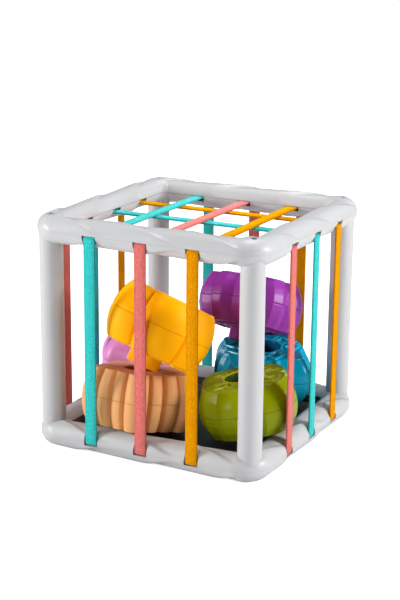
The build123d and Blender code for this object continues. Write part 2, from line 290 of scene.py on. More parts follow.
def cage_material():
    """Grey plastic with a faint orange peel, the seams, a crease at each scale, and painted shade on the
    floor.
    """
    cage = Shader("cage plastic")
    split = cage.node("SeparateXYZ")
    cage.join(cage.place, split.inputs[0])
    x, y, z = split.outputs
    reach_x, reach_y = cage.math("ABSOLUTE", x), cage.math("ABSOLUTE", y)
    reach = cage.math("MAXIMUM", reach_x, reach_y)
    lengthways = cage.math("GREATER_THAN", reach_y, reach_x)
    crossways = cage.math("SUBTRACT", 1.0, lengthways)
    along = cage.math("ADD", cage.math("MULTIPLY", x, lengthways), cage.math("MULTIPLY", y, crossways))
    outward = cage.math("SUBTRACT", reach, BAR_MIDDLE)
    from_middle = cage.math("ABSOLUTE", cage.math("SUBTRACT", z, RINGS_MIDDLE))
    upward = cage.math("ABSOLUTE", cage.math("SUBTRACT", from_middle, RINGS_HALF_APART))

    turned = cage.math("SUBTRACT", cage.math("ARCTAN2", upward, outward), SCALE_TURN)
    lean = cage.math("MULTIPLY", cage.math("SINE", turned), SCALE_LEAN)
    shifted = cage.math("ADD", cage.math("ADD", along, lean), SCALE_START * SCALE_PITCH)
    share = cage.math("FRACT", cage.math("DIVIDE", shifted, SCALE_PITCH))
    rise = cage.math("DIVIDE", share, SCALE_RISE)
    fall = cage.math("DIVIDE", cage.math("SUBTRACT", 1.0, share), SCALE_FALL)
    above = cage.math("DIVIDE", cage.math("SUBTRACT", upward, PLAIN_BY_SEAM), FADE_BY_SEAM, clamp=True)
    to_corner = cage.math("SUBTRACT", CARVED_LENGTH, cage.math("ABSOLUTE", along))
    straight = cage.math("DIVIDE", to_corner, FADE_BY_CORNER, clamp=True)
    crease = cage.math("MULTIPLY", cage.math("MINIMUM", rise, fall), CREASE_DEPTH)
    crease = cage.math("MULTIPLY", crease, cage.math("MULTIPLY", above, straight))

    seam = cage.math("SUBTRACT", 1.0, cage.math("DIVIDE", upward, SEAM_HALF), clamp=True)
    inner_side = cage.math("SUBTRACT", 1.0, cage.math("DIVIDE", outward, SEAM_FADES_OVER), clamp=True)
    gap = cage.math("ADD", cage.math("MULTIPLY", inner_side, 1 - SEAM_OUTSIDE), SEAM_OUTSIDE)
    seam = cage.math("MULTIPLY", seam, gap)

    tint = cage.mix(cage.noise(cage.place, 35.0, 4.0), linear("b6b7b9"), linear("bebec0"))
    # Painted shade: the floor inside the base ring is painted dark grey, as if the blocks kept the light off
    # it.
    inside = cage.math("LESS_THAN", reach, SHADED_FLOOR_HALF)
    painted_floor_shade = cage.math("MULTIPLY", inside, cage.math("LESS_THAN", z, SHADED_FLOOR_TOP))
    tint = cage.mix(painted_floor_shade, tint, linear("464546"))
    mottle = cage.math("MULTIPLY", cage.noise(cage.place, 60.0), 0.1)
    cage.set(
        Base_Color=cage.mix(seam, tint, linear("7c7d82")),
        Roughness=cage.math("ADD", mottle, 0.4),
        Subsurface_Weight=0.1,
        Subsurface_Radius=(1.0, 0.95, 0.9),
        Subsurface_Scale=0.002,
        Coat_Weight=0.06,
        Coat_Roughness=0.2,
    )
    peel = cage.math("MULTIPLY", cage.noise(cage.place, 1400.0, 2.0), PEEL_DEPTH)
    height = cage.math("SUBTRACT", cage.math("ADD", peel, crease), cage.math("MULTIPLY", seam, SEAM_DEPTH))
    cage.bump(height, 1.0, SCALE_STEP)
    return cage.material


CAGE_PLASTIC = cage_material()
for node in ("top_ring_upper", "top_ring_lower", "base_ring_upper", "base_tray"):
    moulding = merged_copy(node)
    carve_scales(moulding)
    new_piece(node + "_moulding", moulding, "cage", [node], CAGE_PLASTIC, 40)
for node in ("post_front_left", "post_front_right", "post_back_left", "post_back_right"):
    new_piece(node + "_moulding", merged_copy(node), "cage", [node], CAGE_PLASTIC, 40)

# ---------------------------------------------------------------- screws
# Plated steel pins with flat heads, sunk in the counterbores at both ends of every post. They hold the
# rings to the posts.
steel = Shader("screw steel")
steel.set(
    Metallic=1.0,
    Base_Color=steel.mix(steel.noise(steel.place, 900.0), linear("4c4e51"), linear("76797d")),
    Roughness=steel.math("ADD", steel.math("MULTIPLY", steel.noise(steel.place, 400.0), 0.2), 0.25),
)
for node in ("top_screws", "base_screws"):
    new_piece(node + "_set", merged_copy(node), "cage", [node], steel.material, 30)


# ---------------------------------------------------------------- elastic straps
# Flat woven elastic, three bands each way, threaded through slots in the lid ring and held in the base
# ring. Each free run is swept from slot to slot as two pieces that meet in its middle.
STRAP_WIDTH, STRAP_THICK = 7.0 * MM, 1.15 * MM
STRAP_SPOTS = (-30.5 * MM, 0.0, 30.5 * MM)
STRAP_FACE = 69.2 * MM
LOW_END, HIGH_UPPER, HIGH_LOWER = 6.7 * MM, 121.7 * MM, 120.3 * MM
RING_INNER, TAIL, BEHIND_FACE = 54.0 * MM, 5.0 * MM, 1.5 * MM
RIBS, PICK_LENGTH, WEAVE_DEPTH = 9, 1.2 * MM, 0.18 * MM
FUZZ_SCALE, FUZZ_FROM, FUZZ_GAIN = 1400.0, 0.34, 3.2
STITCH_ROW, STITCH_HALF, STITCH_DARK, EDGE_PAINTED_SHADE = 0.74, 0.1, 0.85, 0.5
PLACES_X, PLACES_Y = ("left", "middle", "right"), ("front", "middle", "back")
COLOURS_X, COLOURS_Y = ("teal", "coral", "orange"), ("coral", "teal", "orange")


class Group(Nodes):
    """A new node group with named sockets, for an effect that several materials share."""

    def __init__(self, name, takes, gives):
        super().__init__(bpy.data.node_groups.new(name, "ShaderNodeTree"))
        for label, kind in takes.items():
            self.tree.interface.new_socket(label, in_out="INPUT", socket_type="NodeSocket" + kind)
        for label in gives:
            self.tree.interface.new_socket(label, in_out="OUTPUT", socket_type="NodeSocketFloat")
        self.takes = self.tree.nodes.new("NodeGroupInput").outputs
        self.gives = self.tree.nodes.new("NodeGroupOutput").inputs

    def put_in(self, shader, values):
        """Places the group in a material and returns its outputs."""
        placed = shader.node("Group", node_tree=self.tree)
        for label, value in values.items():
            shader.fill(placed.inputs[label], value)
        return placed.outputs


def weave_group():
    """Ribs along the band, close picks across them, a row of stitches by each edge, painted shade on the
    rounded edges, and a little fuzz.
    """
    cloth = Group("elastic weave", {"Band": "Vector", "Place": "Vector"}, ("Pale", "Deep", "Height"))
    split = cloth.node("SeparateXYZ")
    cloth.join(cloth.takes["Band"], split.inputs[0])
    across, along = split.outputs[0], split.outputs[1]
    ribs = cloth.math("ABSOLUTE", cloth.math("SINE", cloth.math("MULTIPLY", across, pi * RIBS)))
    lengthways = cloth.math("MULTIPLY", along, 2 * pi / PICK_LENGTH)
    slanting = cloth.math("ADD", lengthways, cloth.math("MULTIPLY", across, pi * RIBS))
    picks = cloth.math("ADD", cloth.math("MULTIPLY", cloth.math("SINE", slanting), 0.5), 0.5)
    weave = cloth.math("MULTIPLY", ribs, cloth.math("ADD", cloth.math("MULTIPLY", picks, 0.6), 0.4))
    speckle = cloth.math("SUBTRACT", cloth.noise(cloth.takes["Place"], FUZZ_SCALE, 2.0, 0.7), FUZZ_FROM)
    heather = cloth.math("MULTIPLY", speckle, FUZZ_GAIN, clamp=True)
    apart = cloth.math("ABSOLUTE", cloth.math("SUBTRACT", cloth.math("MULTIPLY", across, 2.0), 1.0))
    # Painted shade on the band's rounded edges, where its thickness turns away from the light; the stitch
    # rows beside them are real.
    edge = cloth.math("MULTIPLY", cloth.math("POWER", apart, 10.0), EDGE_PAINTED_SHADE)
    off_row = cloth.math("ABSOLUTE", cloth.math("SUBTRACT", apart, STITCH_ROW))
    row = cloth.math("SUBTRACT", 1.0, cloth.math("DIVIDE", off_row, STITCH_HALF), clamp=True)
    stitch = cloth.math("MULTIPLY", row, cloth.math("MULTIPLY", picks, STITCH_DARK))
    half_weave, half_heather = cloth.math("MULTIPLY", weave, 0.5), cloth.math("MULTIPLY", heather, 0.5)
    cloth.join(cloth.math("ADD", half_weave, half_heather, clamp=True), cloth.gives["Pale"])
    cloth.join(cloth.math("MAXIMUM", edge, stitch), cloth.gives["Deep"])
    cloth.join(cloth.math("ADD", weave, cloth.math("MULTIPLY", heather, 0.6)), cloth.gives["Height"])
    return cloth


def shade(colour, factor):
    """A darker or paler colour of the same hue."""
    return tuple(min(1.0, v * factor) for v in colour[:3]) + (1.0,)


WEAVE = weave_group()


def strap_material(name, colour):
    """Matt elastic, deeper between its threads, with dark stitches, painted shade on its edges and a sheen of
    loose fibres in a paler tone.
    """
    band = Shader(name)
    weave = WEAVE.put_in(band, {"Band": band.node("UVMap").outputs[0], "Place": band.place})
    thread = band.mix(weave["Pale"], shade(colour, 0.52), shade(colour, 1.42))
    band.set(
        Base_Color=band.mix(weave["Deep"], thread, shade(colour, 0.45)),
        Roughness=0.9,
        Specular_IOR_Level=0.05,
        Sheen_Weight=1.0,
        Sheen_Roughness=0.35,
        Sheen_Tint=tuple(v**0.5 for v in colour),
    )
    band.bump(weave["Height"], 0.6, WEAVE_DEPTH)
    return band.material


STRAP_MATERIALS = {
    "teal": strap_material("teal elastic", linear("36c0be")),
    "coral": strap_material("coral elastic", linear("da726c")),
    "orange": strap_material("orange elastic", linear("ee9200")),
}


def band_section():
    """Corners of the band's flat section, with rounded edges: how far across, and how far off its middle."""
    round_off, flat = STRAP_THICK * 0.45, STRAP_WIDTH / 2 - STRAP_THICK * 0.45
    corners = []
    for edge, turn in ((1, 0), (-1, 90), (-1, 180), (1, 270)):
        for angle in (radians(turn), radians(turn + 45), radians(turn + 90)):
            corners.append((edge * flat + cos(angle) * round_off, sin(angle) * STRAP_THICK / 2))
    return corners


def ribbon(built, points, width_way):
    """Sweeps the band along a list of points; its UV map runs across it and, in metres, along it."""
    section = band_section()
    uv_layer = built.loops.layers.uv.verify()
    width_way = Vector(width_way)
    rows, lengths = [], [0.0]
    for index, point in enumerate(points):
        before, after = points[max(index - 1, 0)], points[min(index + 1, len(points) - 1)]
        lift = (after - before).normalized().cross(width_way).normalized()
        rows.append([built.verts.new(point + width_way * a + lift * b) for a, b in section])
        if index:
            lengths.append(lengths[-1] + (point - points[index - 1]).length)
    for row in range(len(rows) - 1):
        for k in range(len(section)):
            j = (k + 1) % len(section)
            corners = ((row, k), (row, j), (row + 1, j), (row + 1, k))
            face = built.faces.new([rows[r][c] for r, c in corners])
            for loop, (r, c) in zip(face.loops, corners):
                loop[uv_layer].uv = (0.5 + section[c][0] / STRAP_WIDTH, lengths[r])
    for row in (rows[0][::-1], rows[-1]):
        face = built.faces.new(row)
        for loop in face.loops:
            loop[uv_layer].uv = (0.5, 0.0)


def run_in_halves(node, colour, points, width_way):
    """The visible run of a strap, as two pieces that meet in the middle of it."""
    middle = len(points) // 2
    for label, part in (("first", points[: middle + 1]), ("second", points[middle:][::-1])):
        built = bmesh.new()
        ribbon(built, part, width_way)
        bmesh.ops.recalc_face_normals(built, faces=built.faces)
        material, slot = STRAP_MATERIALS[colour], "strap_" + colour
        piece = new_piece(f"{node}_{label}", built, None, [node], material, 60)
        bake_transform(piece)


def upright_points(outward, spot_way, spot, high_end, radius=1.1 * MM, step=2.0 * MM):
    """An upright run outside the rings, with a rounded bend and a short tail into the slot at both ends."""
    face, inner = outward * STRAP_FACE, outward * (STRAP_FACE - TAIL)
    start, corner_one = (Vector((*(spot_way * spot + away), LOW_END)) for away in (inner, face))
    corner_two, end = (Vector((*(spot_way * spot + away), high_end)) for away in (face, inner))
    points = [start]
    for before, corner, after in ((start, corner_one, corner_two), (corner_one, corner_two, end)):
        back, ahead = (before - corner).normalized(), (after - corner).normalized()
        centre = corner + (back + ahead) * radius
        for angle in np.linspace(0, pi / 2, 5):
            points.append(centre - ahead * radius * cos(angle) - back * radius * sin(angle))
        if corner is corner_one:
            length = (corner_two - corner_one).length - 2 * radius
            pieces = 2 * round(length / step / 2)
            origin = points[-1].copy()
            points += [origin + ahead * length * k / pieces for k in range(1, pieces)]
    return points + [end]


X_WAY, Y_WAY = Vector((1, 0)), Vector((0, 1))
for index, spot in enumerate(STRAP_SPOTS):
    for side, sign in (("front", -1), ("back", 1)):
        points = upright_points(sign * Y_WAY, X_WAY, spot, HIGH_UPPER)
        run_in_halves(f"{side}_strap_{PLACES_X[index]}", COLOURS_X[index], points, (1, 0, 0))
    for side, sign in (("left", -1), ("right", 1)):
        points = upright_points(sign * X_WAY, Y_WAY, spot, HIGH_LOWER)
        run_in_halves(f"{side}_strap_{PLACES_Y[index]}", COLOURS_Y[index], points, (0, 1, 0))


def lid_points(start, end, pieces=54):
    """A straight run over the lid, from one inner slot to the other."""
    start, end = Vector(start), Vector(end)
    return [start.lerp(end, k / pieces) for k in range(pieces + 1)]


for index, spot in enumerate(STRAP_SPOTS):
    points = lid_points((spot, -RING_INNER, HIGH_UPPER), (spot, RING_INNER, HIGH_UPPER))
    run_in_halves(f"lid_strap_{PLACES_X[index]}", COLOURS_X[index], points, (1, 0, 0))
    points = lid_points((-RING_INNER, spot, HIGH_LOWER), (RING_INNER, spot, HIGH_LOWER))
    run_in_halves(f"lid_cross_strap_{PLACES_Y[index]}", COLOURS_Y[index], points, (0, 1, 0))

# The stretches inside the rings: through the lid ring, and the ends held in the base ring.
for colour, material in STRAP_MATERIALS.items():
    built = bmesh.new()
    for index, spot in enumerate(STRAP_SPOTS):
        for sign in (-1, 1):
            near, tail = sign * RING_INNER, sign * (STRAP_FACE - TAIL)
            far = sign * (STRAP_FACE - BEHIND_FACE)
            if COLOURS_X[index] == colour:
                for begin, level in ((near, HIGH_UPPER), (tail, LOW_END)):
                    ribbon(built, [Vector((spot, begin, level)), Vector((spot, far, level))], (1, 0, 0))
            if COLOURS_Y[index] == colour:
                for begin, level in ((near, HIGH_LOWER), (tail, LOW_END)):
                    ribbon(built, [Vector((begin, spot, level)), Vector((far, spot, level))], (0, 1, 0))
    bmesh.ops.recalc_face_normals(built, faces=built.faces)
    new_piece("strap_returns_" + colour, built, "cage", ["strap_returns"], material, 60)


# ---------------------------------------------------------------- green block: clover
# Glossy moulded plastic. Every block is two halves that meet at a hairline groove round a belly, with a
# hub between them that has a deep cup in its end. This one has four cut lobes, with leaves in relief.

# Blocks are shaped in millimetres about their own middle, then scaled and set into the cage.
TURNS = 540
ANGLES = np.linspace(0, 2 * pi, TURNS, endpoint=False)
GROOVE, GROOVE_DEPTH, RELIEF, DEEPEST = 0.07, 0.9, 1.2, 2.0
HUB, HUB_WALL, HUB_DEPTH, HUB_SINK, HUB_STEPS = 10.2, 0.8, 9.0, 0.4, 96
COLLAR, COLLAR_WIDTH, PEG, PEG_LENGTH = 10.3, 1.6, 9.2, 8.0
FACE_ROWS, SIDE_ROWS, RIM_ROWS = 46, 12, 6
SIDE_BEND, SIDE_SHARE, FADE_AT_RIM = 2.1, 0.95, 0.5
# Where the painted shade in the hollows and the painted highlight on the crests begin, and how fast they
# grow.
HOLLOWS_BELOW, HOLLOW_SHADE_GAIN, CRESTS_ABOVE, CREST_HIGHLIGHT_GAIN, RELIEF_SHINE = 0.48, 4.0, 0.6, 1.2, 0.7


def side_profile(face, draw_in, round_rim, facets):
    """Height and draw-in of each row of vertices: parting groove, swelling side, rounded rim."""
    flank, shoulder = GROOVE + 0.4, face - round_rim
    rows = [(0.0, GROOVE_DEPTH), (GROOVE * 0.9, GROOVE_DEPTH)]
    rows += [(GROOVE, 0.18), (GROOVE + 0.12, 0.04), (flank, 0.0)]
    knots = np.linspace(0, 1, facets + 1)
    for k in range(1, SIDE_ROWS + 1):
        share = k / SIDE_ROWS
        drawn = draw_in * SIDE_SHARE * np.interp(share, knots, knots**SIDE_BEND)
        rows.append((flank + (shoulder - flank) * share, drawn))
    lean = np.arctan(SIDE_SHARE * SIDE_BEND * draw_in / shoulder)
    for k in range(1, RIM_ROWS + 1):
        angle = lean + (pi / 2 - lean) * k / RIM_ROWS
        inset = draw_in * SIDE_SHARE + round_rim * (cos(lean) - np.cos(angle))
        rows.append((shoulder + round_rim * (np.sin(angle) - sin(lean)), inset))
    top = rows[-1][0]
    return [(level * face / top if level > shoulder else level, inset) for level, inset in rows]


def half_rows(block):
    """How far out, how high and how far up the relief each row of a half is, from groove to hub."""
    face = block.height / 2
    reach = block.outline(ANGLES) * block.radius
    reaches, levels, marks = [], [], []
    for level, inset in side_profile(face, block.draw_in, block.rim, block.facets):
        reaches.append(reach * (1 - inset / block.radius))
        levels.append(np.full(TURNS, level))
        marks.append(np.full(TURNS, 0.5))
    edge = reaches[-1]
    for k in range(1, FACE_ROWS + 1):
        distance = edge + (COLLAR - edge) * k / FACE_ROWS
        u, v = np.array((np.cos(ANGLES), np.sin(ANGLES))) * distance / (block.radius - block.draw_in)
        rise = block.relief(u, v) * np.clip((edge - distance) / FADE_AT_RIM, 0, 1)
        if not block.sunk:
            lip = np.clip(1 - (distance - COLLAR) / COLLAR_WIDTH, 0, 1)
            rise = np.maximum(rise, RELIEF * np.clip(1 - (2 * lip - 1) ** 4, 0, 1) * (lip > 0))
        reaches.append(distance)
        levels.append(face + np.clip(rise, -DEEPEST, RELIEF))
        marks.append(np.clip(0.5 + rise / (2 * RELIEF), 0, 1))
    # The walls down round the hub are marked low, so they get painted shade as well.
    for level in (face - 1.0, face - 4.0, 2.0, 0.0):
        reaches.append(np.full(TURNS, COLLAR))
        levels.append(np.full(TURNS, level))
        marks.append(np.full(TURNS, 0.3))
    return np.array(reaches), np.array(levels), np.array(marks)


def block_half(block, label, material):
    """The upper or lower half of a block, set into the cage."""
    reaches, levels, marks = half_rows(block)
    sign = 1 if label == "upper" else -1
    local = np.stack([reaches * np.cos(ANGLES), sign * reaches * np.sin(ANGLES), sign * levels], axis=-1)
    world = (local @ np.array(block.turn).T + np.array(block.centre)) * MM
    built = bmesh.new()
    mark = built.verts.layers.float.new("relief")
    grid = []
    for places, values in zip(world, marks):
        grid.append([built.verts.new(place) for place in places])
        for vertex, value in zip(grid[-1], values):
            vertex[mark] = value
    for low, high in zip(grid, grid[1:] + grid[:1]):
        for k in range(TURNS):
            j = (k + 1) % TURNS
            built.faces.new((low[k], low[j], high[j], high[k]))
    node, body = f"{block.name}_block_{label}", block.name + "_block"
    new_piece(node + "_shell", built, body, [node], material, 50)


def block_hub(block, material):
    """The hub, turned from one profile. Pegged blocks have one cup, and a peg below."""
    end = block.height / 2 + (0 if block.sunk else RELIEF) - HUB_SINK
    floor, wall, tip = end - HUB_DEPTH, HUB - HUB_WALL, block.height / 2 + PEG_LENGTH
    cup = [(0.0, floor - 0.4), (0.9, floor - 0.35), (1.5, floor), (8.5, floor), (9.15, floor + 0.25)]
    cup += [(wall, floor + 0.9), (wall, end - 0.5), (wall + 0.12, end - 0.12), (wall + 0.4, end)]
    cup += [(HUB - 0.12, end - 0.12), (HUB, end - 0.4)]
    far_side = [(away, -level) for away, level in cup[::-1]]
    if block.pegged:
        far_side = [(HUB, 0.4 - end), (HUB - 0.1, 0.1 - end), (HUB - 0.4, -end), (PEG + 0.1, -end)]
        far_side += [(PEG, -end - 0.1), (PEG, 0.5 - tip), (PEG - 0.15, 0.15 - tip), (PEG - 0.5, -tip)]
        far_side += [(PEG - 1.7, -tip), (PEG - 1.8, 0.3 - tip), (0.0, 0.3 - tip)]
    built = bmesh.new()
    mark = built.verts.layers.float.new("peg")
    profile = [built.verts.new((away, 0, level)) for away, level in cup + far_side]
    lines = [built.edges.new(pair) for pair in zip(profile, profile[1:])]
    bmesh.ops.spin(
        built, geom=profile + lines, cent=(0, 0, 0), axis=(0, 0, 1), angle=2 * pi, steps=HUB_STEPS,
        use_merge=True,
    )
    bmesh.ops.remove_doubles(built, verts=built.verts, dist=1e-4)
    bmesh.ops.recalc_face_normals(built, faces=built.faces)
    for vertex in built.verts:
        vertex[mark] = 1.0 if block.pegged and vertex.co.z < 0 else 0.0
    place = Matrix.Scale(MM, 4) @ Matrix.Translation(block.centre) @ block.turn.to_4x4()
    bmesh.ops.transform(built, matrix=place, verts=built.verts)
    node, body = block.name + "_block_hub", block.name + "_block"
    new_piece(node + "_spool", built, body, [node], material, 50)


def grain_group():
    """Satin plastic: slow clouds for the colour, a mottled gloss, and a fine orange peel."""
    takes = {"Place": "Vector", "Cloud Scale": "Float", "Gloss": "Float"}
    grain = Group("satin grain", takes, ("Cloud", "Roughness", "Peel"))
    place = grain.takes["Place"]
    grain.join(grain.noise(place, grain.takes["Cloud Scale"], 4.0), grain.gives["Cloud"])
    mottle = grain.math("MULTIPLY", grain.noise(place, 60.0, 2.0), 0.06)
    grain.join(grain.math("ADD", mottle, grain.takes["Gloss"]), grain.gives["Roughness"])
    grain.join(grain.noise(place, 1700.0), grain.gives["Peel"])
    return grain


GRAIN = grain_group()


def block_material(name, colour, painted_shade, light, gloss, mirror):
    """Moulded plastic with painted shade in the hollows of the relief and a painted highlight on its crests,
    both with more shine.
    """
    plastic = Shader(name)
    grain = GRAIN.put_in(plastic, {"Place": plastic.place, "Cloud Scale": 45.0, "Gloss": gloss})
    height = plastic.node("Attribute", attribute_name="relief").outputs["Fac"]
    # Painted shade in the hollows of the relief, and a painted highlight, in the colour light, on its crests.
    low = plastic.math("MULTIPLY", plastic.math("SUBTRACT", HOLLOWS_BELOW, height), HOLLOW_SHADE_GAIN, clamp=True)
    high = plastic.math("MULTIPLY", plastic.math("SUBTRACT", height, CRESTS_ABOVE), CREST_HIGHLIGHT_GAIN, clamp=True)
    base = plastic.mix(grain["Cloud"], shade(colour, 0.94), shade(colour, 1.05))
    # The plain level multiplies last, because an exported model keeps such a number and drops a sum.
    off_level = plastic.math("ABSOLUTE", plastic.math("SUBTRACT", height, 0.5))
    shine = plastic.math("ADD", plastic.math("MULTIPLY", off_level, RELIEF_SHINE / mirror), 1.0)
    plastic.set(
        Base_Color=plastic.mix(high, plastic.mix(low, base, painted_shade), light),
        Roughness=grain["Roughness"],
        Specular_IOR_Level=plastic.math("MULTIPLY", shine, mirror),
        Subsurface_Weight=0.06,
        Subsurface_Radius=colour[:3],
        Subsurface_Scale=0.003,
    )
    plastic.bump(grain["Peel"], 0.1, 0.05 * MM)
    return plastic.material


def hub_material(name, cup, peg, gloss, mirror):
    """The cup is painted in a deep tone of the block's colour, as painted shade inside it, and the peg has
    the colour of the block.
    """
    plastic = Shader(name)
    grain = GRAIN.put_in(plastic, {"Place": plastic.place, "Cloud Scale": 60.0, "Gloss": gloss})
    pegged = plastic.node("Attribute", attribute_name="peg").outputs["Fac"]
    # Painted shade: the cup is the block's own plastic, painted dark as if in shade.
    painted_hollow_shade = plastic.mix(grain["Cloud"], shade(cup, 0.8), shade(cup, 1.1))
    outside = plastic.mix(grain["Cloud"], shade(peg, 0.9), shade(peg, 1.0))
    plastic.set(
        Base_Color=plastic.mix(pegged, painted_hollow_shade, outside),
        Roughness=grain["Roughness"],
        Specular_IOR_Level=mirror,
    )
    plastic.bump(grain["Peel"], 0.1, 0.05 * MM)
    return plastic.material


def tilt(toward, lean, turn):
    """Rotation of a block: turned about its own axis, then leaned over toward a compass angle."""
    hinge = Vector((-sin(radians(toward)), cos(radians(toward)), 0))
    return Matrix.Rotation(radians(lean), 3, hinge) @ Matrix.Rotation(radians(turn), 3, "Z")


def build_block(block):
    """Both halves and the hub of a block. Colours: skin, painted shade and painted highlight for the relief,
    and painted shade in the cup.
    """
    skin, painted_hollow_shade, painted_crest_highlight, cup = (linear(c) for c in block.colours)
    plastic = block_material(block.name + " plastic", skin, painted_hollow_shade, painted_crest_highlight, block.gloss, block.mirror)
    core = hub_material(block.name + " hub plastic", cup, skin, block.gloss, block.mirror)
    block_half(block, "upper", plastic)
    block_half(block, "lower", plastic)
    block_hub(block, core)


# An outline gives the reach at each angle as a share of the block's radius. A relief gives the height of an
# end face in millimetres at points given as shares of that face's radius.
def folded(angle, count, first=0.0):
    """Angle from the nearest of several evenly spaced directions, in radians."""
    step = 2 * pi / count
    return (angle - radians(first) + step / 2) % step - step / 2


def disc_reach(distance, toward, radius, angles):
    """How far a ray from the centre reaches before it leaves a disc."""
    apart = angles - radians(toward)
    inside = radius**2 - (distance * np.sin(apart)) ** 2
    return np.where(inside >= 0, distance * np.cos(apart) + np.sqrt(np.maximum(inside, 0)), 0)


def petal_reach(reach, share, count, first, angles):
    """Outline of a ring of overlapping discs."""
    middle, radius = reach * (1 - share), reach * share
    return np.max([disc_reach(middle, first + 360 / count * k, radius, angles) for k in range(count)], axis=0)


def with_flats(reach, count, first=0):
    """Swaps the curve between evenly spaced directions for straight flats, as on a cut stone."""
    corners = np.arange(first, TURNS, TURNS // count)
    steps = np.arange(TURNS)
    x = np.interp(steps, corners, (reach * np.cos(ANGLES))[corners], period=TURNS)
    y = np.interp(steps, corners, (reach * np.sin(ANGLES))[corners], period=TURNS)
    return np.hypot(x, y)


def soft(distance, width=0.012):
    """1 inside a shape and 0 outside, with a rounded shoulder; distance is negative inside."""
    t = np.clip(0.5 - distance / (2 * width), 0, 1)
    return t * t * (3 - 2 * t)


def leaf(x, y, length, width):
    """Distance to a pointed oval that runs from the origin along +x."""
    t = np.clip(x / length, 0, 1)
    beside = np.maximum(np.abs(y) - width * np.sin(pi * t) ** 0.8, 0)
    return np.hypot(beside, np.maximum(np.maximum(-x, x - length), 0)) - 0.002


def petal_depth(u, v, reach, share, count, first):
    """Distance to a ring of overlapping discs; negative inside them."""
    spots = [radians(first + 360 / count * k) for k in range(count)]
    middle, radius = reach * (1 - share), reach * share
    return np.min([np.hypot(u - middle * cos(a), v - middle * sin(a)) for a in spots], axis=0) - radius


LOBES, LOBE_SHARE, LOBE_FLATS = 4, 0.7, 20
NOTCH, NOTCH_OPENING = 0.772, 0.026
LEAVES = ((0, 0.46, 0.075), (48, 0.34, 0.065), (-48, 0.34, 0.065))


def clover(angles):
    """Four cut lobes with straight-sided notches between them; a notch opens by so much in each degree."""
    reach = with_flats(petal_reach(1, LOBE_SHARE, LOBES, 45, angles), LOBE_FLATS)
    return np.minimum(reach, NOTCH + np.abs(np.degrees(folded(angles, LOBES))) * NOTCH_OPENING)


def clover_relief(u, v):
    """Raised lobes with a deep valley between each pair, and three hollow leaves on each lobe."""
    radius, angle = np.hypot(u, v), np.arctan2(v, u)
    height = 0.4 * soft(petal_depth(u, v, 0.92, 0.55, LOBES, 45))
    valley = np.abs(radius * np.sin(folded(angle, LOBES)))
    height -= 2.2 * soft(valley - 0.10 - 0.14 * np.clip(radius - 0.45, 0, 1), 0.05)
    apart = folded(angle, LOBES, 45)
    x, y = radius * np.cos(apart) - 0.45, radius * np.sin(apart)
    for turn, reach, wide in LEAVES:
        c, s = cos(radians(turn)), sin(radians(turn))
        a, b = x * c + y * s, -x * s + y * c
        height += 0.8 * soft(leaf(a, b, reach, wide + 0.02))
        height -= 1.5 * soft(leaf(a - 0.12 * reach, b, reach * 0.7, wide * 0.6))
    return height


build_block(SimpleNamespace(
    name="green", outline=clover, relief=clover_relief, sunk=False, pegged=False,
    radius=29.6, height=27.8, draw_in=4.5, rim=1.0, facets=3,
    centre=(39.8, -20.2, 28.0), turn=tilt(-164.6, 10.8, 27.0),
    colours=("808a00", "2c3400", "b6c000", "2f4a1b"), gloss=0.16, mirror=0.14,
))


# ---------------------------------------------------------------- peach block: star
# Satin moulded plastic. A star of fifteen scallops in five groups, with a narrow crease in each valley
# and a long groove between each pair of arms, pressed into its flat end faces.
POINTS, POINT_SHARE = 5, 0.2
SIDE_ANGLE, SIDE_REACH, SIDE_SCALLOP = 21.5, 0.84, 0.226
WAIST, GROOVE_FROM, GROOVE_TO = 0.7, 0.27, 0.73


def creased(reach, depth, width):
    """Cuts a narrow crease along every valley of an outline; the width is in steps of the outline."""
    valleys = np.flatnonzero((reach < np.roll(reach, 1)) & (reach <= np.roll(reach, -1)))
    apart = np.abs(np.arange(TURNS)[:, None] - valleys)
    nearest = np.minimum(apart, TURNS - apart).min(axis=1)
    return reach - depth * np.clip(1 - nearest / width, 0, 1)


def scalloped_star(angles):
    """A scallop at each point of a star and one to either side of it."""
    bumps = [petal_reach(1, POINT_SHARE, POINTS, 0, angles)]
    for side in (SIDE_ANGLE, -SIDE_ANGLE):
        bumps.append(petal_reach(SIDE_REACH, SIDE_SCALLOP, POINTS, side, angles))
    return creased(np.maximum(np.max(bumps, axis=0), WAIST), 0.045, 6)


def star_relief(u, v):
    """The pressed grooves, closed toward the hub and the rim."""
    radius, angle = np.hypot(u, v), np.arctan2(v, u)
    groove = np.abs(radius * np.sin(folded(angle, POINTS, 36))) - 0.008
    return -0.8 * soft(groove) * soft(GROOVE_FROM - radius) * soft(radius - GROOVE_TO)


build_block(SimpleNamespace(
    name="peach", outline=scalloped_star, relief=star_relief, sunk=True, pegged=False,
    radius=32.5, height=31.4, draw_in=4.0, rim=0.9, facets=12,
    centre=(-17.4, -38.8, 27.1), turn=tilt(91.2, 11.9, 78.4),
    colours=("dba068", "84400f", "e8b080", "b4560f"), gloss=0.4, mirror=0.12,
))


# ---------------------------------------------------------------- blue block: lattice
# Glossy moulded plastic. A rounded square with two small pointed knobs on each side, and a raised lattice
# of crossing ribs on both ends.
SQUARE_CORNER, KNOB_ASIDE, KNOB_SIZE = 0.2, 0.22, 0.11
DIAMOND_OUT, DIAMOND_ASIDE, DIAMOND_SIZE, RIB_HALF = 0.64, 0.22, 0.335, 0.04


def rounded_square_reach(half, corner, angles):
    """Outline of a square with rounded corners."""
    c, s = np.abs(np.cos(angles)), np.abs(np.sin(angles))
    long, short = np.maximum(c, s), np.minimum(c, s)
    flat = half / long
    centre = half - corner
    middle = centre * (long + short)
    arc = middle + np.sqrt(np.maximum(corner**2 - 2 * centre**2 + middle**2, 0))
    return np.where(flat * short > centre, arc, flat)


